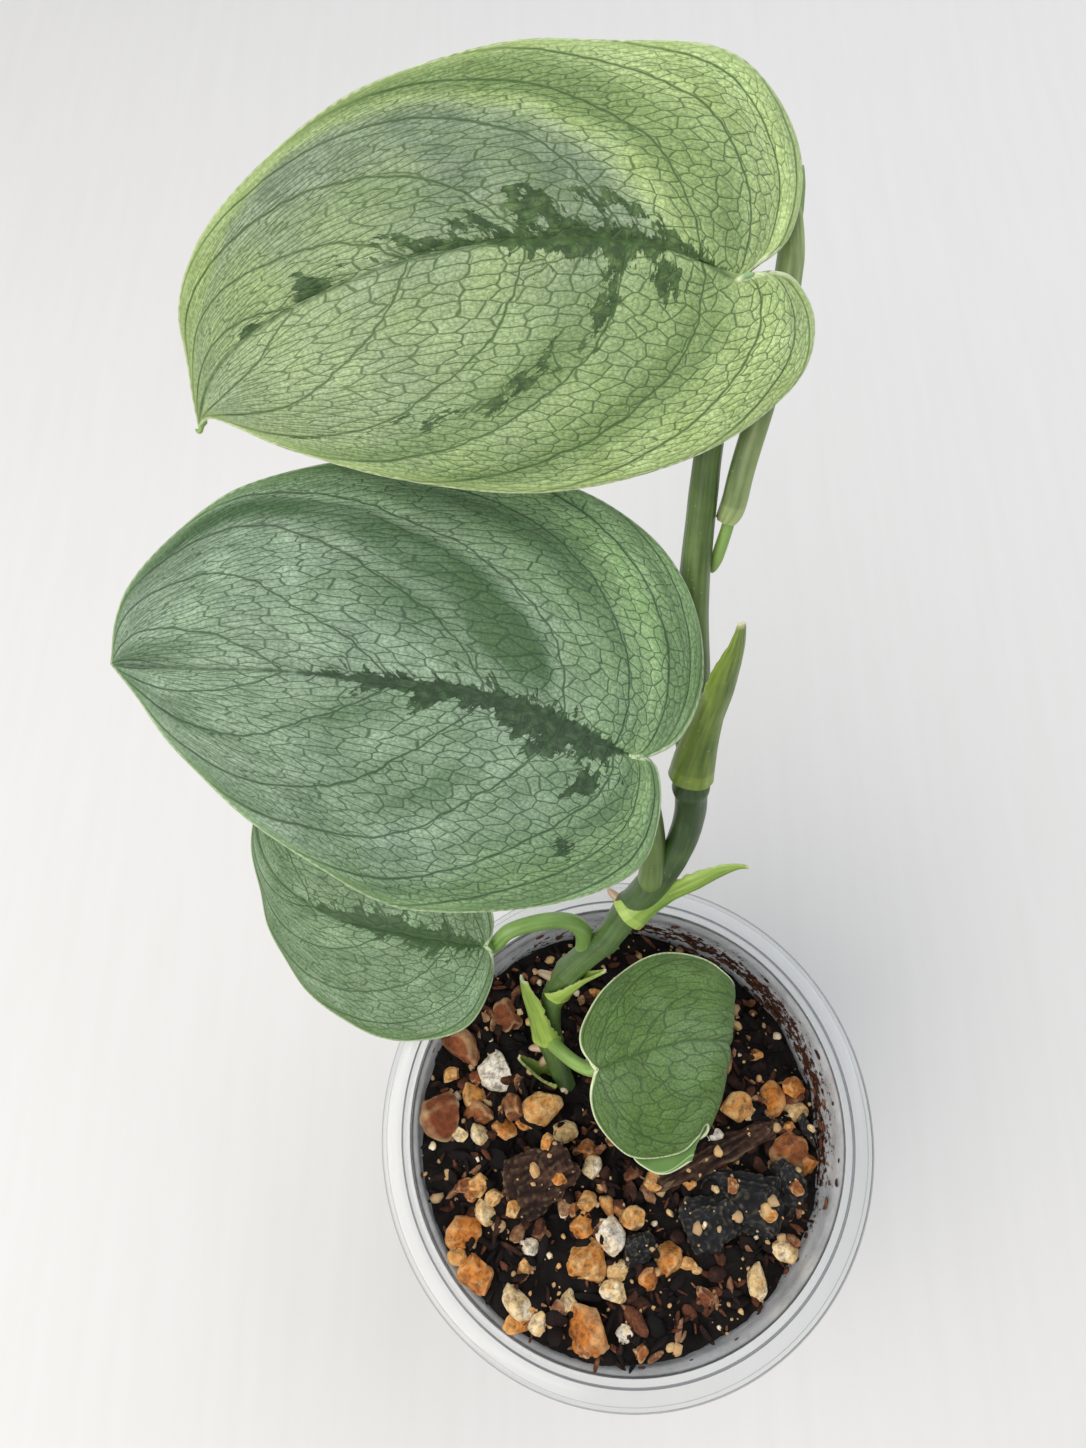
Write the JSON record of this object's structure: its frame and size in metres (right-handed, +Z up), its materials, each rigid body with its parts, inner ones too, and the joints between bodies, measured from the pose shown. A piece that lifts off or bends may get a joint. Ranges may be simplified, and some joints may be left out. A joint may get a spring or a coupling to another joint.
{
  "type": "potted climbing aroid",
  "caption": "Young climbing aroid with silvery heart-shaped leaves on an upright stem, growing in a clear tapered cup filled with coarse bark mix.",
  "frame": {"origin": "centre of the cup's flat underside", "axes": "+Z up along the cup's axis, +X to the right and +Y to the back in the picture; the plant leans towards +Y and its large leaves point towards -X"},
  "size_m": [0.1201, 0.1617, 0.2156],
  "materials": {
    "clear_plastic": "clear, smooth",
    "bark_mix": "rough, crumbly",
    "stem": "satin, living tissue",
    "petiole": "satin, living tissue",
    "silver_blade": "satin, silvery with dark green along the midrib",
    "green_blade": "satin, mid green",
    "young_shoot": "satin, pale green",
    "leaf_scale": "satin, yellow-green with dry margins"
  },
  "bodies": {
    "root": {"cup": "clear_plastic", "bark_mix": "bark_mix", "stem": "stem", "blade_top": "silver_blade", "blade_middle": "silver_blade", "blade_low_left": "silver_blade", "blade_low_right": "green_blade", "petiole_top": "petiole", "petiole_middle": "petiole", "petiole_low_left": "petiole", "petiole_low_right": "petiole", "rolled_leaf": "young_shoot", "shoot_sheath": "young_shoot", "scale_upper": "leaf_scale", "scale_middle": "leaf_scale", "scale_small_right": "leaf_scale", "scale_small_left": "leaf_scale", "scale_lowest": "leaf_scale"}
  },
  "joints": []
}
